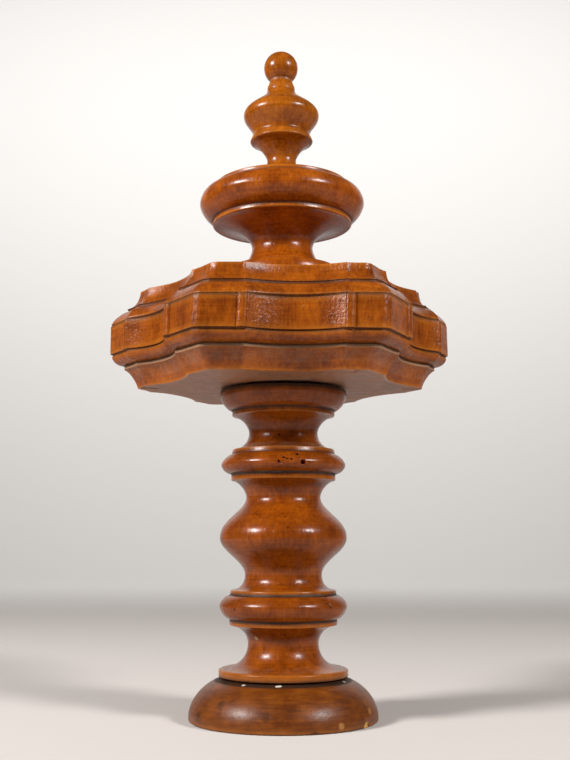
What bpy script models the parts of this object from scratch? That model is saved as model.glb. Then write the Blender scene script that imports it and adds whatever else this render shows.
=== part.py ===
# A staircase finial in turned and moulded hardwood, about 260 mm tall. From the bottom up:
# a domed round foot, a turned column, a six-sided moulded plate with a hollow in each side,
# a mushroom-shaped cap on its stem, and a small knob that ends in a ball.
# Metres, +Z up. The origin is on the column's axis, at the underside of the foot.

import math

import bmesh
import bpy

MM = 0.001

# The stations below are (radius, height) pairs in millimetres, heights from the underside.
# An "edge" is where a moulding meets its fillet, and a "belly" is where its surface stands upright.
# Each piece stops about 0.3 mm short of the one that it stands on or in.

FOOT = {
    "top": (22.8, 15.4),
    "dome_centre": (15.7, 1.0),
    "dome_size": (19.3, 15.5),
    "side": (34.95, 3.0),
    "arris": (34.95, 0.3),
    "underside": (34.7, 0.0),
}

COLUMN = {
    "tenon_top": (21.3, 122.1),
    "collar_top": (24.1, 121.7),
    "collar_side": (24.15, 119.5),
    "ovolo_edge": (20.0, 114.2),
    "ovolo_quirk": (19.6, 113.9),
    "ovolo_fillet": (19.6, 112.2),
    "upper_neck_top": (19.4, 112.0),
    "upper_neck": (13.13, 105.6),
    "upper_neck_foot": (19.3, 99.3),
    "upper_fillet": (19.65, 97.5),
    "upper_ring_top": (19.9, 97.3),
    "upper_ring": (23.6, 93.4),
    "upper_ring_foot": (19.75, 90.0),
    "waist_fillet": (19.8, 87.7),
    "waist_top": (19.6, 87.5),
    "waist": (14.05, 81.25),
    "bulb": (23.85, 66.0),
    "bulb_neck": (14.43, 52.6),
    "bulb_foot": (19.2, 47.1),
    "lower_fillet": (19.75, 46.8),
    "lower_ring_top": (19.85, 45.2),
    "lower_ring": (23.78, 41.25),
    "lower_ring_foot": (20.1, 36.4),
    "neck_fillet": (20.1, 34.3),
    "lower_neck_top": (19.8, 34.1),
    "lower_neck": (13.15, 27.75),
    "lower_neck_foot": (23.2, 18.6),
    "flange_top": (23.97, 18.1),
    "flange_underside": (23.97, 15.8),
}

CAP = {
    "seat": (9.3, 207.5),
    "crown_edge": (25.4, 203.8),
    "crown_fillet": (26.2, 203.4),
    "roll_top": (26.2, 201.9),
    "roll": (32.25, 195.5),
    "roll_foot": (27.0, 188.9),
    "rim_side": (27.3, 187.2),
    "rim_underside": (26.6, 186.8),
    "hollow_edge": (26.0, 187.0),
    "stem": (11.88, 178.0),
    "stem_foot": (16.5, 170.8),
    "flange_top": (21.0, 169.5),
    "flange": (22.8, 165.6),
    "flange_underside": (21.8, 161.0),
}

KNOB = {
    "ball_centre": (0.0, 252.6),
    "ball_radius": 6.8,
    "pinch": (4.58, 247.3),
    "pinch_foot": (4.6, 246.6),
    "collar": (5.5, 244.3),
    "shoulder": (5.55, 243.0),
    "vase": (15.0, 232.3),
    "groove": (11.3, 224.5),
    "disc": (12.5, 221.8),
    "neck_top": (12.2, 221.3),
    "neck": (5.73, 213.9),
    "neck_foot": (8.3, 209.3),
    "foot_top": (8.8, 209.0),
    "foot_underside": (8.8, 207.8),
}

# The plate is measured from its own underside. An inset is how far a level lies inside the band.
# It was cut by hand: its upper and lower mouldings are neither quite level nor quite in line.
PLATE_UNDERSIDE = 122.6
PLATE_BAND = 57.1  # from the centre to a flat of the band
PLATE_TURN = math.radians(4.2)  # the front side looks this far towards +X
PLATE_TWIST = math.radians(1.6)  # from the underside to the top
PLATE_TILTS = (math.radians(0.35), math.radians(0.95))  # right side up, below and above the band
PLATE_OFFSET = -1.05  # the plate's centre, beside the column's axis
PLATE_CORNER = 3.2  # rounding of the six corners
PLATE_SIDES = 6
HOLLOWS = {0: (-15.3, 18.1), 1: (-11.3, 19.5), 5: (-16.6, 12.4)}  # front, right and left, at the band
HIDDEN_HOLLOW = (-16.0, 16.0)
HOLLOW_SPREAD = {1: 0.2, 5: 0.2}  # how much wider a hollow is at each end, for each mm of inset
PLAIN_SPREAD = 0.1
HOLLOW_DEPTH = (5.2, 4.3)  # at the band, and at the narrow levels
HOLLOW_STEPS = 6
LIP_RISE = 0.8  # a hollow's edges stand this proud of the flats
NOSE_WIDTH = 3.2  # the raised rounded strip beside a hollow, on the band
NOSE_SLOPE = 1.3
NOSE_SHARE = 0.25  # of the rise that a nose keeps away from the band
PLATE = {
    "underside": (9.2, 0.0),
    "cove_top": (4.9, 7.1),
    "fillet_top": (4.8, 8.3),
    "ovolo_side": (0.55, 12.3),
    "band_foot": (0.0, 12.9),
    "band_top": (0.0, 24.4),
    "slope_foot": (4.8, 29.8),
    "notch_foot": (5.3, 30.1),
    "notch_top": (5.4, 31.2),
    "top": (9.6, 37.9),
}

HEAD_LEAN = math.radians(-0.45)  # what stands on the plate leans a little to the left

# How full each moulding is on the way from an edge to its belly: 2 is an ellipse, less is flatter.
# A pair is for the upper edge and the lower one.
FULLNESS = {
    "collar": 1.2,
    "upper_neck": (1.7, 2.0),
    "upper_ring": (1.5, 1.8),
    "waist": 1.65,
    "bulb_neck": 2.1,
    "lower_ring": (1.6, 1.7),
    "lower_neck": (1.8, 2.15),
    "crown": 1.2,
    "roll": (1.95, 1.5),
    "hollow": 1.9,
    "stem_foot": 1.6,
    "knob_neck": (1.45, 2.0),
    "plate_cove": 1.35,
    "plate_slope": 1.35,
    "plate_upper_cove": 1.8,
}
BULB_SKEW = 1.2  # over 1, an S curve stays near its start for longer
VASE_SKEW = 1.12

SIDES = {"base_foot": 32, "lower_column": 24, "cap_and_stem": 28, "top_knob": 20}
DOME_STEPS = 6
BALL_STEPS = 8
HOLLOW_CAP_STEPS = 5
PLAIN_STEPS = 4
COARSE_STEPS = 3
COLLAR_STEPS = 2
WELD_DISTANCE = 0.00002
SHARP_ANGLE = math.radians(35)

# Linear colour and roughness.
VARNISH = {
    "base_foot": ((0.23, 0.075, 0.022), 0.38),
    "lower_column": ((0.36, 0.13, 0.025), 0.25),
    "hexagon_plate": ((0.30, 0.095, 0.022), 0.3),
    "cap_and_stem": ((0.38, 0.13, 0.024), 0.22),
    "top_knob": ((0.42, 0.17, 0.03), 0.22),
}


def arc(centre, size, start, end, steps):
    """Points along an ellipse, by angle in degrees from straight out, up positive."""
    points = []
    for step in range(steps + 1):
        angle = math.radians(start + (end - start) * step / steps)
        points.append((centre[0] + size[0] * math.cos(angle), centre[1] + size[1] * math.sin(angle)))
    return points


def quarter(edge, belly, fullness=2.0, steps=PLAIN_STEPS):
    """A bead or a cove from its edge to its belly. Under 2, fullness makes the curve flatter."""
    points = []
    for step in range(steps + 1):
        angle = math.pi / 2 * (1 - step / steps)
        out = abs(math.cos(angle)) ** (2 / fullness)
        along = abs(math.sin(angle)) ** (2 / fullness)
        points.append((edge[0] + (belly[0] - edge[0]) * out, belly[1] + (edge[1] - belly[1]) * along))
    return points


def moulding(upper, belly, lower, fullness, steps=PLAIN_STEPS):
    """A whole bead or cove, from its upper edge over its belly to its lower edge."""
    down = quarter(upper, belly, fullness[0], steps)
    back = quarter(lower, belly, fullness[1], steps)[::-1]
    return down + back[1:]


def swell(start, end, skew=1.0, steps=DOME_STEPS):
    """An S curve between two bellies. Over 1, skew keeps it near its start for longer."""
    points = []
    for step in range(steps + 1):
        along = step / steps
        share = (1 - math.cos(math.pi * along**skew)) / 2
        points.append((start[0] + (end[0] - start[0]) * share, start[1] + (end[1] - start[1]) * along))
    return points


def foot_profile():
    s = FOOT
    centre, size = s["dome_centre"], s["dome_size"]
    start = math.degrees(math.asin((s["top"][1] - centre[1]) / size[1]))
    end = math.degrees(math.asin((s["side"][1] - centre[1]) / size[1]))
    dome = arc(centre, size, start, end, DOME_STEPS)
    return [(0, s["top"][1])] + dome + [s["arris"], s["underside"], (0, 0)]


def column_profile():
    s, f = COLUMN, FULLNESS
    points = [(0, s["tenon_top"][1]), s["tenon_top"], (s["tenon_top"][0], s["collar_top"][1])]
    points += [s["collar_top"]]
    points += quarter(s["ovolo_edge"], s["collar_side"], f["collar"], COLLAR_STEPS)[::-1]
    points += [s["ovolo_quirk"], s["ovolo_fillet"]]
    points += moulding(s["upper_neck_top"], s["upper_neck"], s["upper_neck_foot"], f["upper_neck"])
    points += [s["upper_fillet"]]
    ring = s["upper_ring_top"], s["upper_ring"], s["upper_ring_foot"]
    points += moulding(*ring, f["upper_ring"], COARSE_STEPS)
    points += [s["waist_fillet"]]
    points += quarter(s["waist_top"], s["waist"], f["waist"], COARSE_STEPS)
    points += swell(s["bulb"], s["waist"], BULB_SKEW)[-2::-1]
    points += swell(s["bulb"], s["bulb_neck"])[1:]
    points += quarter(s["bulb_foot"], s["bulb_neck"], f["bulb_neck"], COARSE_STEPS)[-2::-1]
    points += [s["lower_fillet"]]
    ring = s["lower_ring_top"], s["lower_ring"], s["lower_ring_foot"]
    points += moulding(*ring, f["lower_ring"], COARSE_STEPS)
    points += [s["neck_fillet"]]
    points += moulding(s["lower_neck_top"], s["lower_neck"], s["lower_neck_foot"], f["lower_neck"])
    points += [s["flange_top"], s["flange_underside"], (0, s["flange_underside"][1])]
    return points


def cap_profile():
    s, f = CAP, FULLNESS
    points = [(0, s["seat"][1])]
    points += quarter(s["seat"], s["crown_edge"], f["crown"], COARSE_STEPS)
    points += [s["crown_fillet"]]
    points += moulding(s["roll_top"], s["roll"], s["roll_foot"], f["roll"])
    points += [s["rim_side"], s["rim_underside"]]
    points += quarter(s["hollow_edge"], s["stem"], f["hollow"], HOLLOW_CAP_STEPS)
    points += quarter(s["stem_foot"], s["stem"], f["stem_foot"])[-2::-1]
    points += quarter(s["flange_top"], s["flange"], steps=COARSE_STEPS)
    points += [s["flange_underside"], (0, s["flange_underside"][1])]
    return points


def knob_profile():
    s = KNOB
    centre, radius = s["ball_centre"], s["ball_radius"]
    foot = -math.degrees(math.acos(s["pinch"][0] / radius))
    points = arc(centre, (radius, radius), 90, foot, BALL_STEPS)
    points += [s["pinch_foot"], s["collar"]]
    points += swell(s["vase"], s["shoulder"], VASE_SKEW)[::-1]
    points += swell(s["vase"], s["groove"], steps=PLAIN_STEPS)[1:]
    points += [s["disc"]]
    points += moulding(s["neck_top"], s["neck"], s["neck_foot"], FULLNESS["knob_neck"])
    points += [s["foot_top"], s["foot_underside"], (0, s["foot_underside"][1])]
    return points


def plate_levels():
    """(inset, height) from the underside to the top."""
    s, f = PLATE, FULLNESS
    cove = quarter(s["cove_top"], s["underside"], f["plate_cove"], COARSE_STEPS)[::-1]
    ovolo = quarter(s["fillet_top"], s["ovolo_side"], steps=COARSE_STEPS)
    slope = quarter(s["slope_foot"], s["band_top"], f["plate_slope"], COARSE_STEPS)[::-1]
    upper_cove = quarter(s["notch_top"], s["top"], f["plate_upper_cove"], COARSE_STEPS)
    return cove + ovolo + [s["band_foot"]] + slope + [s["notch_foot"]] + upper_cove


def side_points(side, inset):
    """(along, out) points of one side at a level: flat, nose, lip, hollow, lip, nose and flat.

    The noses stand out on the band only."""
    flat = PLATE_BAND - inset
    start, end = HOLLOWS.get(side, HIDDEN_HOLLOW)
    spread = HOLLOW_SPREAD.get(side, PLAIN_SPREAD) * inset
    middle, half = (start + end) / 2, (end - start) / 2 + spread
    depth = HOLLOW_DEPTH[0] if inset == 0 else HOLLOW_DEPTH[1]
    bend = (half**2 + depth**2) / (2 * depth)
    lip = flat + LIP_RISE
    hollow = []
    for step in range(HOLLOW_STEPS + 1):
        along = half * (2 * step / HOLLOW_STEPS - 1)
        hollow.append((along, lip - depth + bend - math.sqrt(bend**2 - along**2)))
    nose_at = half + NOSE_WIDTH
    nose_out = flat + LIP_RISE * (1 if inset == 0 else NOSE_SHARE)
    before = [(-nose_at - NOSE_SLOPE, flat), (-nose_at, nose_out)]
    after = [(nose_at, nose_out), (nose_at + NOSE_SLOPE, flat)]
    return [(along + middle, out) for along, out in before + hollow + after]


def plate_outline(inset, height):
    """The closed outline of one level, anticlockwise from above."""
    flat = PLATE_BAND - inset
    turn = PLATE_TURN + PLATE_TWIST * (height / PLATE["top"][1] - 0.5)
    half_turn = math.pi / PLATE_SIDES
    points = []
    for side in range(PLATE_SIDES):
        facing = -math.pi / 2 + turn + 2 * half_turn * side
        out_x, out_y = math.cos(facing), math.sin(facing)
        for along, out in side_points(side, inset):
            points.append((out * out_x - along * out_y, out * out_y + along * out_x))
        corner = facing + half_turn
        reach = (flat - PLATE_CORNER) / math.cos(half_turn)
        for bend in (-half_turn, 0, half_turn):
            x = reach * math.cos(corner) + PLATE_CORNER * math.cos(corner + bend)
            y = reach * math.sin(corner) + PLATE_CORNER * math.sin(corner + bend)
            points.append((x, y))
    tilt = PLATE_TILTS[0] if height <= PLATE["band_foot"][1] else PLATE_TILTS[1]
    return [(x, y, height + x * math.tan(tilt)) for x, y in points]


def varnished_wood(name):
    colour, roughness = VARNISH[name]
    material = bpy.data.materials.new(name + "_varnish")
    material.use_nodes = True
    shader = material.node_tree.nodes["Principled BSDF"]
    shader.inputs["Base Color"].default_value = (*colour, 1)
    shader.inputs["Roughness"].default_value = roughness
    shader.inputs["Metallic"].default_value = 0
    material.diffuse_color = (*colour, 1)
    return material


def place(obj, collection, head=None):
    obj.data.materials.append(varnished_wood(obj.name))
    collection.objects.link(obj)
    if head:
        obj.parent = head
    return obj


def turned(name, profile, base=0):
    """A lathe-turned piece: its profile, in millimetres, swept once round the axis."""
    mesh = bpy.data.meshes.new(name)
    corners = [(radius * MM, 0, (height - base) * MM) for radius, height in profile]
    edges = [(i, i + 1) for i in range(len(corners) - 1)]
    mesh.from_pydata(corners, edges, [])
    obj = bpy.data.objects.new(name, mesh)
    screw = obj.modifiers.new("Turning", "SCREW")
    screw.angle = math.tau
    screw.steps = SIDES[name]
    screw.render_steps = SIDES[name]
    screw.use_merge_vertices = True
    screw.merge_threshold = WELD_DISTANCE
    screw.use_smooth_shade = True
    return obj


def moulded_plate(name):
    """The six-sided plate, lofted through the outlines of its levels."""
    bm = bmesh.new()
    rings = []
    for inset, height in plate_levels():
        outline = plate_outline(inset, height)
        rings.append([bm.verts.new((x * MM, y * MM, z * MM)) for x, y, z in outline])
    for lower, upper in zip(rings, rings[1:]):
        for i in range(len(lower)):
            after = (i + 1) % len(lower)
            bm.faces.new((lower[i], lower[after], upper[after], upper[i]))
    bm.faces.new(rings[0][::-1])
    bm.faces.new(rings[-1])
    mesh = bpy.data.meshes.new(name)
    bm.to_mesh(mesh)
    bm.free()
    mesh.shade_smooth()
    mesh.set_sharp_from_angle(angle=SHARP_ANGLE)
    return bpy.data.objects.new(name, mesh)


def main():
    for obj in list(bpy.data.objects):
        bpy.data.objects.remove(obj, do_unlink=True)
    finial = bpy.data.collections.new("staircase_finial")
    bpy.context.scene.collection.children.link(finial)

    head = bpy.data.objects.new("head_lean", None)
    head.location = (0, 0, PLATE_UNDERSIDE * MM)
    head.rotation_euler = (0, HEAD_LEAN, 0)
    head.empty_display_size = 0.03
    finial.objects.link(head)

    place(turned("base_foot", foot_profile()), finial)
    place(turned("lower_column", column_profile()), finial)
    plate = place(moulded_plate("hexagon_plate"), finial)
    plate.location = (PLATE_OFFSET * MM, 0, PLATE_UNDERSIDE * MM)
    place(turned("cap_and_stem", cap_profile(), PLATE_UNDERSIDE), finial, head)
    place(turned("top_knob", knob_profile(), PLATE_UNDERSIDE), finial, head)


main()
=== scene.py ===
# Looks of the staircase finial: its turned pieces and its moulded plate, with old varnish,
# dirt, painted shade in the grooves, worm holes and wear, on a pale studio sweep. Sizes in the settings are
# millimetres.

import math

import bmesh
import bpy
from mathutils import Matrix, Vector, noise
from mathutils.kdtree import KDTree


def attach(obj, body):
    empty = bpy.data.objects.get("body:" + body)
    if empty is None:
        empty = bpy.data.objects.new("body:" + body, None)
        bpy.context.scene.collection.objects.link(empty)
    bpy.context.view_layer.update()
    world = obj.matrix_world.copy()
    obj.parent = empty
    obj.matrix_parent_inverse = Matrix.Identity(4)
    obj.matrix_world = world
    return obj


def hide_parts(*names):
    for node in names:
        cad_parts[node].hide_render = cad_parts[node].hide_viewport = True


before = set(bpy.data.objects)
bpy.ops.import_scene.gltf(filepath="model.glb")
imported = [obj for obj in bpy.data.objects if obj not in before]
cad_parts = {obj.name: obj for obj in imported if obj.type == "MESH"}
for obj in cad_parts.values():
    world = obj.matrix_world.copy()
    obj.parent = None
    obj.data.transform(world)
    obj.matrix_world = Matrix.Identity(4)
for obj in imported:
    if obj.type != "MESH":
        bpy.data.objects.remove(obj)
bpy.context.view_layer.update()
mm = 0.001
headLean = math.radians(-0.45)  # the cap and knob lean a little to the left
plateUnderside = 122.6


# Curves for the profiles: (radius, height) points from the top down.

def ellipseArc(centre, size, start, end, steps=16):
    points = []
    for step in range(steps + 1):
        angle = math.radians(start + (end - start) * step / steps)
        points.append((centre[0] + size[0] * math.cos(angle), centre[1] + size[1] * math.sin(angle)))
    return points


def quarterCurve(edge, belly, fullness=2.0, steps=10):
    points = []
    for step in range(steps + 1):
        angle = math.pi / 2 * (1 - step / steps)
        out = abs(math.cos(angle)) ** (2 / fullness)
        along = abs(math.sin(angle)) ** (2 / fullness)
        points.append((edge[0] + (belly[0] - edge[0]) * out, belly[1] + (edge[1] - belly[1]) * along))
    return points


def moulding(upper, belly, lower, fullness, steps=10):
    down = quarterCurve(upper, belly, fullness[0], steps)
    back = quarterCurve(lower, belly, fullness[1], steps)[::-1]
    return down + back[1:]


def swellCurve(start, end, skew=1.0, steps=20):
    points = []
    for step in range(steps + 1):
        along = step / steps
        share = (1 - math.cos(math.pi * along**skew)) / 2
        points.append((start[0] + (end[0] - start[0]) * share, start[1] + (end[1] - start[1]) * along))
    return points


def turnAt(before, corner, after):
    # how far the line turns at a corner: positive in a groove, negative on an edge
    inward = Vector(corner) - Vector(before)
    onward = Vector(after) - Vector(corner)
    if inward.length < 1e-6 or onward.length < 1e-6:
        return 0
    return -inward.angle_signed(onward)


def softenCorners(points, radius=0.3):
    softened = [points[0]]
    for before, corner, after in zip(points, points[1:], points[2:]):
        if abs(turnAt(before, corner, after)) < math.radians(20):
            softened.append(corner)
            continue
        here = Vector(corner)
        back = Vector(before) - here
        on = Vector(after) - here
        start = here + back.normalized() * min(radius, back.length * 0.45)
        end = here + on.normalized() * min(radius, on.length * 0.45)
        for share in (0, 0.33, 0.67, 1):
            point = start * (1 - share) ** 2 + here * 2 * share * (1 - share) + end * share**2
            softened.append(tuple(point))
    softened.append(points[-1])
    return softened


def cornerMarks(points, reach):
    # (place, turn) of every sharp corner, for the grime and painted shade in grooves and the wear on edges
    marks = []
    for before, corner, after in zip(points, points[1:], points[2:]):
        turn = turnAt(before, corner, after)
        if abs(turn) > math.radians(18) and corner[0] > 1:
            marks.append((Vector(corner), turn))

    def measure(point):
        dirt = 0
        wear = 0
        for place, turn in marks:
            near = math.exp(-(((place - Vector(point)).length / reach) ** 2))
            strength = min(1, abs(turn) / math.radians(70)) * near
            if turn > 0:
                dirt = max(dirt, strength)
            else:
                wear = max(wear, strength)
        return dirt, wear

    return measure


def onlyThis(piece):
    bpy.ops.object.select_all(action="DESELECT")
    piece.select_set(True)
    bpy.context.view_layer.objects.active = piece


def addLayer(piece, name, values):
    layer = piece.data.attributes.new(name, "FLOAT", "POINT")
    layer.data.foreach_set("value", values)


def turnPiece(name, outline, sides, bands=(), reach=0.75):
    # draws the profile by extruding one vertex, then spins it round the axis
    drawn = softenCorners(outline)
    bpy.ops.object.select_all(action="DESELECT")
    bpy.ops.mesh.primitive_plane_add(size=2 * mm, location=(0, 0, 0))
    piece = bpy.context.object
    piece.name = name
    piece.data.name = name
    bpy.ops.object.mode_set(mode="EDIT")
    bpy.ops.mesh.merge(type="CENTER")
    bpy.ops.transform.translate(value=(drawn[0][0] * mm, 0, drawn[0][1] * mm))
    for last, point in zip(drawn, drawn[1:]):
        step = ((point[0] - last[0]) * mm, 0, (point[1] - last[1]) * mm)
        bpy.ops.mesh.extrude_region_move(TRANSFORM_OT_translate={"value": step})
    bpy.ops.mesh.select_all(action="SELECT")
    bpy.ops.mesh.spin(steps=sides, angle=math.tau, center=(0, 0, 0), axis=(0, 0, 1))
    bpy.ops.mesh.select_all(action="SELECT")
    bpy.ops.mesh.remove_doubles(threshold=0.000008)
    bpy.ops.mesh.normals_make_consistent(inside=False)
    bpy.ops.object.mode_set(mode="OBJECT")
    bpy.ops.object.shade_smooth()

    # grime and painted shade darken the grooves, and varnish wears off the edges
    measure = cornerMarks(outline, reach)
    tree = KDTree(len(drawn))
    found = []
    for i, point in enumerate(drawn):
        tree.insert((point[0], 0, point[1]), i)
        found.append(measure(point))
    tree.balance()
    dirt, wear, dust = [], [], []
    for vertex in piece.data.vertices:
        radius = math.hypot(vertex.co.x, vertex.co.y) / mm
        height = vertex.co.z / mm
        marks = found[tree.find((radius, 0, height))[1]]
        extra = {"dirt": 0, "dust": 0}
        for kind, low, high, strength in bands:
            fade = min(1, max(0, min(height - low, high - height) / 0.35 + 0.5))
            extra[kind] = max(extra[kind], strength * fade)
        dirt.append(max(marks[0], extra["dirt"]))
        wear.append(marks[1])
        dust.append(extra["dust"])
    addLayer(piece, "dirt", dirt)
    addLayer(piece, "wear", wear)
    addLayer(piece, "dust", dust)
    return piece


def unevenSurface(piece, depth, size, seed):
    # small dents and flats, only inwards so that the piece keeps its size
    shift = Vector((seed * 3.1, seed * 1.7, seed * 2.3))
    moved = []
    for vertex in piece.data.vertices:
        dent = 0.5 + 0.5 * noise.noise(vertex.co / (size * mm) + shift)
        moved.append(vertex.co - vertex.normal * dent * depth * mm)
    for vertex, place in zip(piece.data.vertices, moved):
        vertex.co = place
    piece.data.update()


def pointAt(azimuth, height, radius):
    # azimuth 0 faces the camera, and grows to the right
    angle = math.radians(azimuth)
    return Vector((radius * math.sin(angle), -radius * math.cos(angle), height)) * mm


def leanHead(piece):
    pivot = Vector((0, 0, plateUnderside * mm))
    turn = Matrix.Rotation(headLean, 3, "Y")
    onlyThis(piece)
    piece.rotation_euler = (0, headLean, 0)
    piece.location = pivot - turn @ pivot
    bpy.ops.object.transform_apply(location=True, rotation=True, scale=True)


def boreHoles(piece, holes, seed):
    # each hole is (azimuth, height, radius out from the axis, hole radius, wide, tall, deep)
    cutters = []
    for i, (azimuth, height, out, size, wide, tall, deep) in enumerate(holes):
        bpy.ops.object.select_all(action="DESELECT")
        bpy.ops.mesh.primitive_ico_sphere_add(subdivisions=3, radius=size * mm)
        cutter = bpy.context.object
        for vertex in cutter.data.vertices:
            ragged = noise.noise(vertex.co * 900 + Vector((i, seed, 0)))
            vertex.co *= 1 + 0.22 * ragged
            vertex.co.x *= wide
            vertex.co.z *= tall
            vertex.co.y *= deep / size
        cutter.rotation_euler = (0, 0, math.radians(azimuth))
        cutter.location = pointAt(azimuth, height, out)
        cutters.append(cutter)
    bpy.ops.object.select_all(action="DESELECT")
    for cutter in cutters:
        cutter.select_set(True)
    bpy.context.view_layer.objects.active = cutters[0]
    bpy.ops.object.join()
    tool = bpy.context.object
    bpy.ops.object.transform_apply(location=True, rotation=True, scale=True)
    onlyThis(piece)
    bore = piece.modifiers.new("Holes", "BOOLEAN")
    bore.operation = "DIFFERENCE"
    bore.solver = "EXACT"
    bore.use_self = True
    bore.object = tool
    bpy.ops.object.modifier_apply(modifier=bore.name)
    bpy.data.objects.remove(tool)


# Materials. Maths on sockets is written as sums on this wrapper.

class Wire:
    def __init__(self, tree, socket):
        self.tree = tree
        self.socket = socket

    def node(self, kind, settings=None, sockets=None, output=0):
        made = self.tree.nodes.new(kind)
        for name, value in (settings or {}).items():
            if name == "stops":
                for at, colour in value[1:-1]:
                    made.color_ramp.elements.new(at)
                for element, (at, colour) in zip(made.color_ramp.elements, value):
                    element.position = at
                    element.color = (*colour, 1)
            else:
                setattr(made, name, value)
        for name, value in (sockets or {}).items():
            if isinstance(value, Wire):
                self.tree.links.new(value.socket, made.inputs[name])
            else:
                made.inputs[name].default_value = value
        return Wire(self.tree, made.outputs[output])

    def maths(self, operation, first, second):
        return self.node("ShaderNodeMath", {"operation": operation}, {0: first, 1: second})

    def __add__(self, other):
        return self.maths("ADD", self, other)

    def __radd__(self, other):
        return self.maths("ADD", other, self)

    def __sub__(self, other):
        return self.maths("SUBTRACT", self, other)

    def __rsub__(self, other):
        return self.maths("SUBTRACT", other, self)

    def __mul__(self, other):
        return self.maths("MULTIPLY", self, other)

    def step(self, low, high):
        # 0 below low, 1 above high, smooth between
        settings = {"interpolation_type": "SMOOTHSTEP"}
        return self.node("ShaderNodeMapRange", settings, {0: self, 1: low, 2: high, 3: 0.0, 4: 1.0})

    def cloud(self, stretch, detail=3.0, rough=0.55, shift=(0.0, 0.0, 0.0)):
        # noise whose features are 1/stretch metres long in each direction
        place = self.node("ShaderNodeMapping", {}, {"Vector": self, "Location": shift, "Scale": stretch})
        sockets = {"Vector": place, "Scale": 1.0, "Detail": detail, "Roughness": rough}
        return self.node("ShaderNodeTexNoise", {}, sockets)

    def paint(self, mask, colour, mode="MIX"):
        # this colour, with another one laid over it
        settings = {"data_type": "RGBA", "blend_type": mode}
        if not isinstance(colour, Wire):
            colour = (*colour, 1)
        return self.node("ShaderNodeMix", settings, {0: mask, 6: self, 7: colour}, 2)

    def spot(self, azimuth, height, radius, size):
        # 1 at a place on the surface, fading to 0 at its size
        place = pointAt(azimuth, height, radius)
        away = self.node("ShaderNodeVectorMath", {"operation": "DISTANCE"}, {0: self, 1: place}, "Value")
        return 1 - away.step(0.0, size * 1.5 * mm)


def oldVarnish(name, look):
    material = bpy.data.materials.new(name)
    material.use_nodes = True
    tree = material.node_tree
    shader = tree.nodes["Principled BSDF"]
    start = Wire(tree, None)
    where = start.node("ShaderNodeTexCoord", output="Object")
    dirt = start.node("ShaderNodeAttribute", {"attribute_name": "dirt"}, output="Fac")
    wear = start.node("ShaderNodeAttribute", {"attribute_name": "wear"}, output="Fac")
    dust = start.node("ShaderNodeAttribute", {"attribute_name": "dust"}, output="Fac")

    grain = where.cloud(look["grain"], 5.0, 0.62)
    mottle = where.cloud(look["mottle"], 3.0, 0.6, (3.1, 1.2, 0.4))
    lines = where.cloud(look["lines"], 2.0, 0.5, (0.3, 2.2, 1.4))
    fine = where.cloud((1300.0, 1300.0, 1300.0), 2.0, 0.6)
    tone = 0.5 + (grain - 0.5) * look["grainDepth"] + (mottle - 0.5) * look["mottleDepth"]
    tone = tone + (lines - 0.5) * look["linesDepth"]
    colour = tone.node("ShaderNodeValToRGB", {"stops": look["tones"]}, {0: tone})

    pores = where.cloud(look["pores"], 1.0, 0.4, (1.0, 0.0, 5.0)).step(0.66, 0.74)
    colour = colour.paint(pores * look["poreDepth"], look["poreColour"])
    colour = colour.paint(wear * (0.35 + mottle) * look["wearDepth"], look["worn"])
    patches = where.cloud((210.0, 210.0, 260.0), 4.0, 0.65, (5.0, 7.0, 2.0))
    # grime and painted shade: a near-black colour laid over the grooves, joints and the collar's top
    grimeAndShadeMask = (dirt * (0.55 + patches * 0.9)).step(0.18, 0.85)
    colour = colour.paint(grimeAndShadeMask * look["dirtDepth"], look["dirt"])
    powder = (dust * (0.3 + patches * 1.4)).step(0.3, 0.95)
    colour = colour.paint(powder * look["dustDepth"], look["dust"])
    for paintColour, strength, size, places in look.get("spots", ()):
        for azimuth, height, radius in places:
            mark = where.spot(azimuth, height, radius, size)
            ragged = (mark * (fine * 0.7 + patches * 1.1)).step(0.3, 0.75)
            colour = colour.paint(ragged * strength, paintColour)
    tree.links.new(colour.socket, shader.inputs["Base Color"])

    rough = look["rough"] + (mottle - 0.5) * 0.1 + grimeAndShadeMask * 0.25 + powder * 0.35 + (fine - 0.5) * 0.08
    tree.links.new(rough.socket, shader.inputs["Roughness"])
    shader.inputs["Specular IOR Level"].default_value = look.get("gloss", 0.5)

    ripple = where.cloud(look["ripple"], 3.0, 0.6, (2.0, 2.0, 2.0))
    height = ripple * look["rippleDepth"] + grain * look["grainBump"] + fine * look["fineBump"]
    height = height + powder * 0.2 - pores * 0.1
    sockets = {"Strength": 1.0, "Distance": 0.25 * mm, "Height": height}
    bump = start.node("ShaderNodeBump", {}, sockets, "Normal")
    tree.links.new(bump.socket, shader.inputs["Normal"])
    return material


def dress(piece, node, material):
    piece.data.materials.clear()
    piece.data.materials.append(material)
    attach(piece, "root")
    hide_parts(node)


baseLook = {
    "grain": (900.0, 900.0, 260.0), "grainDepth": 0.55,
    "mottle": (110.0, 110.0, 90.0), "mottleDepth": 0.6,
    "lines": (60.0, 60.0, 1500.0), "linesDepth": 0.25,
    "tones": [(0.1, (0.05, 0.0075, 0.0004)), (0.38, (0.145, 0.027, 0.001)), (0.6, (0.26, 0.055, 0.002)),
              (0.92, (0.44, 0.115, 0.005))],
    "pores": (1500.0, 1500.0, 500.0), "poreDepth": 0.3, "poreColour": (0.05, 0.01, 0.001),
    "wearDepth": 0.4, "worn": (0.6, 0.2, 0.02),
    # the near-black colour below stands for grime and painted shade
    "dirtDepth": 0.92, "dirt": (0.02, 0.009, 0.004),
    "dustDepth": 0.6, "dust": (0.27, 0.2, 0.14),
    "rough": 0.24, "gloss": 0.28,
    "ripple": (420.0, 420.0, 420.0), "rippleDepth": 0.25, "grainBump": 0.12, "fineBump": 0.08,
}


def look(**changes):
    made = dict(baseLook)
    made.update(changes)
    return made


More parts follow.
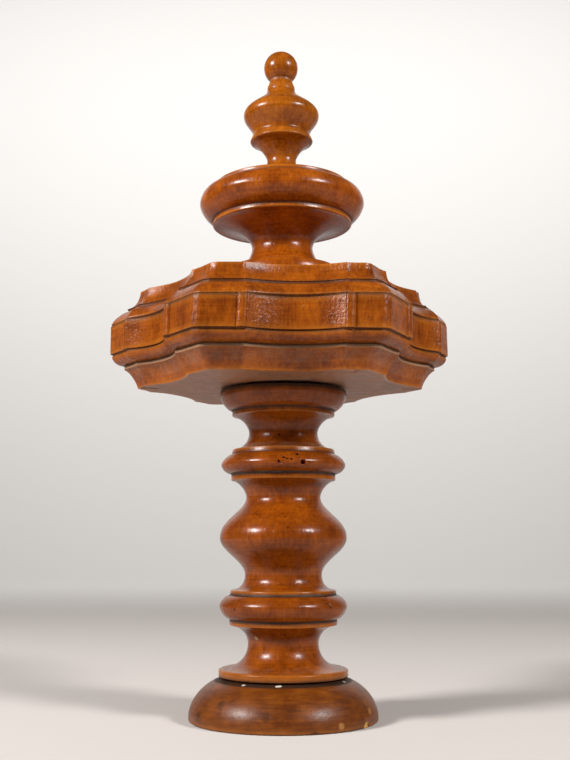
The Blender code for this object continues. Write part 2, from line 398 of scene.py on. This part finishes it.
# The foot: a low dome, duller and darker than the rest, chipped at its lower right.
footSettings = {
    "top": (22.8, 15.4),
    "domeCentre": (15.7, 1.0),
    "domeSize": (19.3, 15.5),
    "side": (34.95, 3.0),
    "arris": (34.95, 0.45),
    "underside": (34.5, 0.0),
    "sides": 176,
    # azimuth, height, out, size, wide, tall, deep
    "chips": [(57.1, 0.9, 35.2, 1.1, 1.8, 0.9, 0.9), (35.1, 2.2, 35.4, 0.9, 1.5, 1.1, 0.8),
              (18.0, 0.2, 35.1, 0.7, 3.2, 0.8, 0.6), (-12.0, 0.1, 35.1, 0.6, 3.0, 0.7, 0.5)],
}


def makeFoot(s):
    low, size = s["domeCentre"][1], s["domeSize"][1]
    start = math.degrees(math.asin((s["top"][1] - low) / size))
    end = math.degrees(math.asin((s["side"][1] - low) / size))
    dome = ellipseArc(s["domeCentre"], s["domeSize"], start, end, 36)
    outline = [(0, s["top"][1]), (12, s["top"][1])] + dome
    outline += [(s["side"][0], 1.6), s["arris"], s["underside"], (20, 0), (0, 0)]
    # the first band darkens the foot under the column's flange with grime and painted shade; the second
    # paints shade along the bottom edge at the floor
    bands = [("dirt", 14.3, 16.0, 0.8), ("dirt", -0.3, 0.5, 0.5)]
    piece = turnPiece("domedFoot", outline, s["sides"], bands)
    unevenSurface(piece, 0.16, 11, 1)
    boreHoles(piece, s["chips"], 8)
    return piece


# The column: rings, a bulb and hollow necks between a collar and a flange.
columnSettings = {
    "tenonTop": (21.3, 122.1),
    "collarTop": (24.1, 121.7), "collarSide": (24.15, 119.5), "ovoloEdge": (20.0, 114.2),
    "ovoloQuirk": (19.6, 113.9), "ovoloFillet": (19.6, 112.2),
    "upperNeckTop": (19.4, 112.0), "upperNeck": (13.13, 105.6), "upperNeckFoot": (19.3, 99.3),
    "upperFillet": (19.65, 97.5),
    "upperRingTop": (19.9, 97.3), "upperRing": (23.6, 93.4), "upperRingFoot": (19.75, 90.0),
    "waistFillet": (19.8, 87.7), "waistTop": (19.6, 87.5), "waist": (14.05, 81.25),
    "bulb": (23.85, 66.0), "bulbNeck": (14.43, 52.6), "bulbFoot": (19.2, 47.1),
    "lowerFillet": (19.75, 46.8),
    "lowerRingTop": (19.85, 45.2), "lowerRing": (23.78, 41.25), "lowerRingFoot": (20.1, 36.4),
    "neckFillet": (20.1, 34.3), "lowerNeckTop": (19.8, 34.1), "lowerNeck": (13.15, 27.75),
    "lowerNeckFoot": (23.2, 18.6), "flangeTop": (23.97, 18.1), "flangeUnderside": (23.97, 15.8),
    "sides": 144,
    # azimuth, height, out, size, wide, tall, deep
    "holes": [
        (17.7, 93.1, 23.2, 0.95, 1.0, 1.0, 2.5), (13.3, 96.0, 22.4, 0.5, 1.0, 1.0, 1.6),
        (0.2, 94.7, 23.3, 0.5, 1.6, 0.7, 1.2), (3.6, 94.2, 23.4, 0.3, 2.6, 0.7, 0.9),
        (7.2, 94.0, 23.3, 0.42, 1.3, 0.8, 1.1), (-4.1, 93.3, 23.4, 0.5, 0.8, 1.2, 1.0),
        (-2.6, 92.7, 23.5, 0.28, 1.0, 1.0, 0.7),
        (2.2, 86.9, 19.4, 0.8, 1.1, 0.75, 1.8), (-6.7, 104.0, 13.0, 0.4, 1.0, 1.0, 0.8),
        (47.8, 44.9, 19.9, 0.45, 1.0, 1.0, 0.9), (39.8, 42.9, 23.5, 0.4, 1.6, 0.45, 0.8),
        (43.4, 42.7, 23.5, 0.45, 1.8, 0.6, 0.9), (45.3, 41.7, 23.6, 0.3, 0.8, 2.6, 0.8),
        (-18.5, 23.8, 12.9, 0.34, 0.8, 1.3, 0.8), (-47.6, 40.6, 23.7, 0.25, 0.6, 3.4, 0.5),
    ],
}


def columnOutline(s):
    points = [(0, s["tenonTop"][1]), (12, s["tenonTop"][1]), s["tenonTop"]]
    points += [(s["tenonTop"][0], s["collarTop"][1]), s["collarTop"]]
    points += quarterCurve(s["ovoloEdge"], s["collarSide"], 1.5)[::-1]
    points += [s["ovoloQuirk"], s["ovoloFillet"]]
    points += moulding(s["upperNeckTop"], s["upperNeck"], s["upperNeckFoot"], (1.7, 2.0), 12)
    points += [s["upperFillet"]]
    points += moulding(s["upperRingTop"], s["upperRing"], s["upperRingFoot"], (1.5, 1.8))
    points += [s["waistFillet"]]
    points += quarterCurve(s["waistTop"], s["waist"], 1.65, 12)
    points += swellCurve(s["bulb"], s["waist"], 1.2, 24)[-2::-1]
    points += swellCurve(s["bulb"], s["bulbNeck"], 1.0, 24)[1:]
    points += quarterCurve(s["bulbFoot"], s["bulbNeck"], 2.1)[-2::-1]
    points += [s["lowerFillet"]]
    points += moulding(s["lowerRingTop"], s["lowerRing"], s["lowerRingFoot"], (1.6, 1.7))
    points += [s["neckFillet"]]
    points += moulding(s["lowerNeckTop"], s["lowerNeck"], s["lowerNeckFoot"], (1.8, 2.15), 12)
    points += [s["flangeTop"], s["flangeUnderside"], (12, s["flangeUnderside"][1])]
    points += [(0, s["flangeUnderside"][1])]
    return points


def makeColumn(s):
    # the first band blackens the collar's top under the plate with grime and painted shade; the last paints
    # shade under the flange, with grime
    bands = [("dirt", 119.6, 123, 1.0), ("dust", 98.2, 101.5, 0.5), ("dust", 112.2, 113.9, 0.35),
             ("dust", 88.6, 90.2, 0.5), ("dust", 45.2, 46.6, 0.5), ("dust", 34.6, 36.6, 0.4),
             ("dust", 18.2, 20.6, 0.4), ("dirt", 15, 16.4, 0.6)]
    piece = turnPiece("turnedColumn", columnOutline(s), s["sides"], bands)
    unevenSurface(piece, 0.1, 9, 2)
    boreHoles(piece, s["holes"], 4)
    return piece


# The cap on its stem.
capSettings = {
    "seat": (9.3, 207.5), "crownEdge": (25.4, 203.8), "crownFillet": (26.2, 203.4),
    "rollTop": (26.2, 201.9), "roll": (32.25, 195.5), "rollFoot": (27.0, 188.9),
    "rimSide": (27.3, 187.2), "rimUnderside": (26.6, 186.8), "hollowEdge": (26.0, 187.0),
    "stem": (11.88, 178.0), "stemFoot": (16.5, 170.8), "flangeTop": (21.0, 169.5),
    "flange": (22.8, 165.6), "flangeUnderside": (21.8, 161.0),
    "sides": 160,
}


def makeCap(s):
    outline = [(0, s["seat"][1]), (6, s["seat"][1])]
    outline += quarterCurve(s["seat"], s["crownEdge"], 1.2, 14)
    outline += [s["crownFillet"]]
    outline += moulding(s["rollTop"], s["roll"], s["rollFoot"], (1.95, 1.5), 14)
    outline += [s["rimSide"], s["rimUnderside"]]
    outline += quarterCurve(s["hollowEdge"], s["stem"], 1.9, 20)
    outline += quarterCurve(s["stemFoot"], s["stem"], 1.6)[-2::-1]
    outline += quarterCurve(s["flangeTop"], s["flange"], 2.0)
    outline += [s["flangeUnderside"], (12, s["flangeUnderside"][1]), (0, s["flangeUnderside"][1])]
    # the first band darkens the groove at the top of the roll with grime and painted shade
    bands = [("dirt", 201.4, 202.3, 0.8), ("dust", 169.2, 171.5, 0.4)]
    piece = turnPiece("capOnStem", outline, s["sides"], bands)
    unevenSurface(piece, 0.1, 10, 3)
    leanHead(piece)
    return piece


# The knob: a ball on a vase, over a disc and a thin neck.
knobSettings = {
    "ballCentre": (0.0, 252.6), "ballRadius": 6.8, "pinch": (4.58, 247.3), "pinchFoot": (4.6, 246.6),
    "collar": (5.5, 244.3), "shoulder": (5.55, 243.0), "vase": (15.0, 232.3), "groove": (11.3, 224.5),
    "disc": (12.5, 221.8), "neckTop": (12.2, 221.3), "neck": (5.73, 213.9), "neckFoot": (8.3, 209.3),
    "footTop": (8.8, 209.0), "footUnderside": (8.8, 207.8),
    "sides": 112,
    "nicks": [(-8.3, 233.2, 15.2, 0.5, 1.9, 0.7, 0.45)],
}


def makeKnob(s):
    ball = s["ballRadius"]
    foot = -math.degrees(math.acos(s["pinch"][0] / ball))
    outline = ellipseArc(s["ballCentre"], (ball, ball), 90, foot, 26)
    outline += [s["pinchFoot"], s["collar"]]
    outline += swellCurve(s["vase"], s["shoulder"], 1.12, 22)[::-1]
    outline += swellCurve(s["vase"], s["groove"], 1.0, 14)[1:]
    outline += [s["disc"]]
    outline += moulding(s["neckTop"], s["neck"], s["neckFoot"], (1.45, 2.0), 12)
    outline += [s["footTop"], s["footUnderside"], (0, s["footUnderside"][1])]
    piece = turnPiece("ballKnob", outline, s["sides"], [("dust", 246.4, 247.6, 0.5)], 0.55)
    unevenSurface(piece, 0.06, 7, 5)
    boreHoles(piece, s["nicks"], 6)
    leanHead(piece)
    return piece


# The plate, measured from its own underside. An inset is how far a level lies inside the band.
plateSettings = {
    "band": 57.1,  # from the centre to a flat
    "turn": 4.2, "twist": 1.6, "tilts": (0.35, 0.95), "offset": -1.05,
    "chamfer": 0.7,  # how deep the corners are cut off
    "hollows": {0: (-15.3, 18.1), 1: (-11.3, 19.5), 5: (-16.6, 12.4)},
    "hiddenHollow": (-16.0, 16.0),
    "spread": {1: 0.2, 5: 0.2}, "plainSpread": 0.1,
    "depth": (5.2, 4.3), "lipRise": 0.8,
    # the reed beside a hollow on the band: distance from the lip, share of the rise
    "reed": [(4.3, 0.0), (3.75, -0.1), (3.45, -0.3), (3.2, 0.35), (2.7, 0.85), (2.0, 1.12), (1.3, 1.18),
             (0.7, 1.05), (0.3, 0.85), (0.0, 0.5)],
    # the plain edge beside a hollow on the other mouldings
    "edge": [(4.5, 0.0), (4.0, 0.05), (3.4, 0.12), (2.8, 0.2), (2.2, 0.25), (1.6, 0.28), (1.0, 0.4),
             (0.5, 0.6), (0.2, 0.85), (0.0, 0.9)],
    "underside": (9.2, 0.0), "coveTop": (4.9, 7.1), "fillet": (4.75, 8.3), "lowerQuirk": 5.0,
    "ovoloFoot": (4.5, 8.7), "ovoloSide": (0.6, 12.2), "bandQuirk": 0.9,
    "bandFoot": (0.0, 12.95), "bandTop": (0.0, 24.3), "topQuirk": 0.35, "slopeTop": (0.2, 24.9),
    "slopeFoot": (4.8, 29.8), "notch": 5.7, "notchTop": (5.3, 31.0), "top": (9.6, 37.9),
    "flatSteps": 13, "hollowSteps": 28,
}


def plateProfile(s):
    levels = [(16.0, 0.0), (10.2, 0.0)]
    levels += quarterCurve(s["coveTop"], s["underside"], 1.35, 10)[::-1]
    levels += [(s["fillet"][0], s["coveTop"][1] + 0.1), s["fillet"], (s["lowerQuirk"], s["fillet"][1] + 0.05),
               (s["lowerQuirk"], s["ovoloFoot"][1] - 0.05)]
    levels += quarterCurve(s["ovoloFoot"], s["ovoloSide"], 2.0, 8)
    levels += [(s["bandQuirk"], s["ovoloSide"][1] + 0.15), (s["bandQuirk"], s["bandFoot"][1] - 0.1)]
    levels += [s["bandFoot"], (0.0, 15.2), (0.0, 17.5), (0.0, 19.8), (0.0, 22.1), s["bandTop"]]
    levels += [(s["topQuirk"], s["bandTop"][1] + 0.1), (s["topQuirk"], s["slopeTop"][1] - 0.15)]
    levels += quarterCurve(s["slopeFoot"], s["slopeTop"], 1.35, 9)[::-1]
    levels += [(s["notch"], s["slopeFoot"][1] + 0.1), (s["notch"], s["notchTop"][1] - 0.25)]
    levels += quarterCurve(s["notchTop"], s["top"], 1.8, 10)
    levels += [(11.0, s["top"][1]), (18.0, s["top"][1])]
    return levels


def smoothShare(value):
    value = min(1, max(0, value))
    return value * value * (3 - 2 * value)


def sideOutline(s, side, inset, share):
    # (along, out) of one side: flat, reed, lip, hollow, lip, reed and flat
    flat = s["band"] - inset
    start, end = s["hollows"].get(side, s["hiddenHollow"])
    half = (end - start) / 2 + s["spread"].get(side, s["plainSpread"]) * inset
    middle = (start + end) / 2
    depth = s["depth"][1] + (s["depth"][0] - s["depth"][1]) * share
    bend = (half**2 + depth**2) / (2 * depth)
    lip = flat + s["lipRise"]
    nose = []
    for (reedAway, reedRise), (edgeAway, edgeRise) in zip(s["reed"], s["edge"]):
        away = edgeAway + (reedAway - edgeAway) * share
        nose.append((away, flat + s["lipRise"] * (edgeRise + (reedRise - edgeRise) * share)))
    hollow = []
    for step in range(s["hollowSteps"] + 1):
        along = (half - 0.25) * (2 * step / s["hollowSteps"] - 1)
        hollow.append((along, lip - depth + bend - math.sqrt(bend**2 - along**2)))
    edge = flat * math.tan(math.pi / 6) - 2 * s["chamfer"] - 0.5
    left = [(-half - away, out) for away, out in nose]
    right = [(half + away, out) for away, out in nose[::-1]]
    points = []
    for step in range(s["flatSteps"]):
        at = step / s["flatSteps"]
        points.append((-edge + (left[0][0] + middle + edge) * at, flat))
    points += [(along + middle, out) for along, out in left + hollow + right]
    last = points[-1][0]
    for step in range(s["flatSteps"]):
        points.append((last + (edge - last) * (step + 1) / s["flatSteps"], flat))
    return points


def cutCorner(s, flat):
    # (out, along) points across one corner, out from the centre and along the cut
    apex = flat / math.cos(math.pi / 6)
    half = 2 * s["chamfer"] * math.sin(math.pi / 3)
    face = apex - s["chamfer"]
    return [(face - 0.07, -half), (face, 0.4 - half), (face, -half / 3), (face, half / 3), (face, half - 0.4),
            (face - 0.07, half)]


def plateRing(s, inset, height):
    flat = s["band"] - inset
    share = min(smoothShare((height - 12.4) / 0.5), smoothShare((25.2 - height) / 0.8))
    turn = math.radians(s["turn"] + s["twist"] * (height / s["top"][1] - 0.5))
    ring = []
    for side in range(6):
        facing = -math.pi / 2 + turn + math.pi / 3 * side
        for along, out in sideOutline(s, side, inset, share):
            ring.append((out * math.cos(facing) - along * math.sin(facing),
                         out * math.sin(facing) + along * math.cos(facing)))
        corner = facing + math.pi / 6
        for out, along in cutCorner(s, flat):
            ring.append((out * math.cos(corner) - along * math.sin(corner),
                         out * math.sin(corner) + along * math.cos(corner)))
    tilt = s["tilts"][0] + (s["tilts"][1] - s["tilts"][0]) * smoothShare((height - 12.9) / 11)
    slope = math.tan(math.radians(tilt))
    placed = []
    for x, y in ring:
        placed.append(Vector((x + s["offset"], y, height + x * slope + plateUnderside)) * mm)
    return placed


def makePlate(s):
    profile = plateProfile(s)
    across = [(s["band"] - inset, height) for inset, height in profile[::-1]]
    measure = cornerMarks(across, 0.7)
    levels = [(s["band"] - out, height) for out, height in softenCorners(across, 0.28)[::-1]]
    count = len(plateRing(s, *levels[0]))
    bpy.ops.object.select_all(action="DESELECT")
    bpy.ops.mesh.primitive_circle_add(vertices=count, radius=s["band"] * mm, fill_type="NGON")
    plate = bpy.context.object
    plate.name = "mouldedPlate"
    plate.data.name = "mouldedPlate"
    bpy.ops.object.mode_set(mode="EDIT")
    net = bmesh.from_edit_mesh(plate.data)
    order = net.verts.layers.int.new("ringOrder")
    marks = {name: net.verts.layers.float.new(name) for name in ("dirt", "wear", "dust")}
    net.verts.ensure_lookup_table()
    for i, vertex in enumerate(net.verts):
        vertex[order] = i
    for number, (inset, height) in enumerate(levels):
        if number:
            bpy.ops.mesh.extrude_region_move(TRANSFORM_OT_translate={"value": (0, 0, mm)})
        net = bmesh.from_edit_mesh(plate.data)
        order = net.verts.layers.int["ringOrder"]
        marks = {name: net.verts.layers.float[name] for name in ("dirt", "wear", "dust")}
        ring = plateRing(s, inset, height)
        # grime and painted shade in the plate's grooves come from the profile's corners
        dirt, wear = measure((s["band"] - inset, height))
        dust = 0.9 if 7.1 < height < 8.4 else 0.45 * smoothShare((height - 1.2) / 2) * (height < 7.1)
        if inset > 9.6 and height < 1:
            dust = 0.7
        for vertex in net.verts:
            if vertex.select:
                vertex.co = ring[vertex[order]]
                vertex[marks["dirt"]] = dirt
                vertex[marks["wear"]] = wear
                vertex[marks["dust"]] = dust
        bmesh.update_edit_mesh(plate.data)
    bpy.ops.mesh.select_all(action="SELECT")
    bpy.ops.mesh.normals_make_consistent(inside=False)
    bpy.ops.object.mode_set(mode="OBJECT")
    bpy.ops.object.shade_smooth_by_angle(angle=math.radians(34))
    unevenSurface(plate, 0.22, 9, 7)
    return plate


print("turning the foot")
foot = makeFoot(footSettings)
dress(foot, "base_foot", oldVarnish("wornFootVarnish", look(
    grain=(120.0, 420.0, 900.0), rough=0.36,
    tones=[(0.1, (0.035, 0.007, 0.0006)), (0.38, (0.1, 0.022, 0.0015)), (0.6, (0.18, 0.045, 0.003)),
           (0.92, (0.32, 0.095, 0.008))],
    spots=[
        ((0.62, 0.55, 0.45), 0.9, 1.0, [(-5.0, 15.0, 24.3), (-2.8, 15.1, 24.2), (-35.0, 14.9, 24.4),
                                        (64.6, 15.0, 24.4)]),  # flakes of glue
        ((0.55, 0.4, 0.24), 0.8, 0.5, [(6.2, 12.4, 28.0)]),
        ((0.4, 0.06, 0.01), 0.6, 1.3, [(4.6, 11.0, 29.0), (2.2, 10.4, 29.6)]),
        ((0.75, 0.42, 0.1), 0.85, 1.9, [(57.1, 1.0, 34.6)]),  # bare wood in the chips
        ((0.5, 0.24, 0.06), 0.6, 1.8, [(35.1, 2.2, 34.6), (63.8, 5.0, 33.4)]),
        ((0.02, 0.008, 0.004), 0.45, 2.6, [(-41.6, 8.6, 32.0), (-61.0, 3.5, 34.2), (-10.2, 6.1, 34.0)]),
    ])))

print("turning the column")
column = makeColumn(columnSettings)
dress(column, "lower_column", oldVarnish("columnVarnish", look(
    spots=[
        ((0.6, 0.42, 0.26), 0.7, 0.6, [(-0.4, 84.5, 17.5)]),  # a scratch
        ((0.55, 0.38, 0.22), 0.6, 1.1, [(-45.6, 30.1, 13.6)]),
    ])))

print("moulding the plate")
plate = makePlate(plateSettings)
dress(plate, "hexagon_plate", oldVarnish("plateVarnish", look(
    grain=(900.0, 900.0, 240.0), rippleDepth=0.85, ripple=(1000.0, 1000.0, 800.0), dirtDepth=0.65,
    tones=[(0.1, (0.055, 0.009, 0.0005)), (0.38, (0.17, 0.032, 0.0012)), (0.6, (0.31, 0.07, 0.0025)),
           (0.92, (0.55, 0.145, 0.006))])))

print("turning the cap")
cap = makeCap(capSettings)
dress(cap, "cap_and_stem", oldVarnish("capVarnish", look(
    dirtDepth=0.55,
    tones=[(0.1, (0.06, 0.009, 0.0005)), (0.38, (0.19, 0.035, 0.0014)), (0.6, (0.35, 0.078, 0.0028)),
           (0.92, (0.57, 0.16, 0.007))])))

print("turning the knob")
knob = makeKnob(knobSettings)
dress(knob, "top_knob", oldVarnish("knobVarnish", look(
    dirtDepth=0.6,
    tones=[(0.1, (0.07, 0.014, 0.0006)), (0.38, (0.2, 0.044, 0.0016)), (0.6, (0.36, 0.094, 0.003)),
           (0.92, (0.58, 0.18, 0.008))])))


# The stage: a pale sweep with its own wash of light, and two window-like lights.
stageSettings = {
    "floorColour": (0.56, 0.515, 0.48),
    "sweepWidth": 5.0, "sweepFront": -3.0, "sweepBack": 1.5, "sweepHeight": 3.2, "sweepBend": 0.7,
    "target": (0, 0, 0.12),
    # name, azimuth, elevation, distance, width, height, watts
    "lights": [
        ("leftWindow", -60, 30, 0.9, 0.22, 0.17, 10.0),
        ("rightWindow", 53, 30, 0.9, 0.2, 0.15, 6.5),
    ],
    "wallLight": {"place": (0, 0.55, 1.3), "aim": (0, 1.5, 0.75), "width": 2.4, "height": 0.3, "watts": 18.0,
                  "colour": (0.9, 0.96, 1.0)},
    "sky": 0.08,
}


def makeSweep(s):
    bpy.ops.object.select_all(action="DESELECT")
    depth = s["sweepBack"] - s["sweepFront"]
    bpy.ops.mesh.primitive_plane_add(size=1, location=(0, s["sweepFront"] + depth / 2, 0))
    sweep = bpy.context.object
    sweep.name = "paleSweep"
    sweep.scale = (s["sweepWidth"], depth, 1)
    bpy.ops.object.transform_apply(location=True, rotation=True, scale=True)
    bpy.ops.object.mode_set(mode="EDIT")
    net = bmesh.from_edit_mesh(sweep.data)
    bpy.ops.mesh.select_all(action="DESELECT")
    for edge in net.edges:
        edge.select = all(abs(v.co.y - s["sweepBack"]) < 1e-4 for v in edge.verts)
    bmesh.update_edit_mesh(sweep.data)
    bpy.ops.mesh.extrude_region_move(TRANSFORM_OT_translate={"value": (0, 0, s["sweepHeight"])})
    bpy.ops.mesh.select_all(action="DESELECT")
    net = bmesh.from_edit_mesh(sweep.data)
    for edge in net.edges:
        edge.select = all(abs(v.co.y - s["sweepBack"]) < 1e-4 and abs(v.co.z) < 1e-4 for v in edge.verts)
    bmesh.update_edit_mesh(sweep.data)
    bpy.ops.mesh.bevel(offset=s["sweepBend"], segments=24, profile=0.5)
    bpy.ops.object.mode_set(mode="OBJECT")
    bpy.ops.object.shade_smooth()
    paper = bpy.data.materials.new("palePaper")
    paper.use_nodes = True
    shader = paper.node_tree.nodes["Principled BSDF"]
    shader.inputs["Base Color"].default_value = (*s["floorColour"], 1)
    shader.inputs["Roughness"].default_value = 0.85
    shader.inputs["Specular IOR Level"].default_value = 0.2
    sweep.data.materials.append(paper)
    return sweep


def addLights(s):
    target = Vector(s["target"])
    for name, azimuth, elevation, distance, width, height, watts in s["lights"]:
        turn = math.radians(azimuth)
        lift = math.radians(elevation)
        way = Vector((math.sin(turn) * math.cos(lift), -math.cos(turn) * math.cos(lift), math.sin(lift)))
        lamp = bpy.data.lights.new(name, "AREA")
        lamp.shape = "RECTANGLE"
        lamp.size = width
        lamp.size_y = height
        lamp.energy = watts
        holder = bpy.data.objects.new(name, lamp)
        holder.location = target + way * distance
        holder.rotation_euler = way.to_track_quat("Z", "Y").to_euler()
        bpy.context.scene.collection.objects.link(holder)
    wall = s["wallLight"]
    lamp = bpy.data.lights.new("wallWash", "AREA")
    lamp.shape = "RECTANGLE"
    lamp.size = wall["width"]
    lamp.size_y = wall["height"]
    lamp.energy = wall["watts"]
    lamp.color = wall["colour"]
    lamp.spread = math.radians(120)
    holder = bpy.data.objects.new("wallWash", lamp)
    holder.location = wall["place"]
    holder.rotation_euler = (Vector(wall["place"]) - Vector(wall["aim"])).to_track_quat("Z", "Y").to_euler()
    bpy.context.scene.collection.objects.link(holder)
    world = bpy.data.worlds.new("softSky")
    world.use_nodes = True
    world.node_tree.nodes["Background"].inputs["Color"].default_value = (0.93, 0.96, 1.0, 1)
    world.node_tree.nodes["Background"].inputs["Strength"].default_value = s["sky"]
    bpy.context.scene.world = world


# The photograph's view: from the bulb's height, looking up by 8.55 degrees.
cameraSettings = {"place": (0.00062, -0.4145, 0.0639), "pitch": 8.55, "lens": 51.63}


def addCamera(s):
    eye = bpy.data.cameras.new("photoView")
    eye.lens = s["lens"]
    eye.sensor_width = 36
    eye.clip_start = 0.01
    eye.clip_end = 20
    holder = bpy.data.objects.new("photoView", eye)
    holder.location = s["place"]
    holder.rotation_euler = (math.radians(90 + s["pitch"]), 0, 0)
    bpy.context.scene.collection.objects.link(holder)
    bpy.context.scene.camera = holder


print("setting the stage")
makeSweep(stageSettings)
addLights(stageSettings)
addCamera(cameraSettings)
bpy.context.scene.view_settings.view_transform = "Standard"
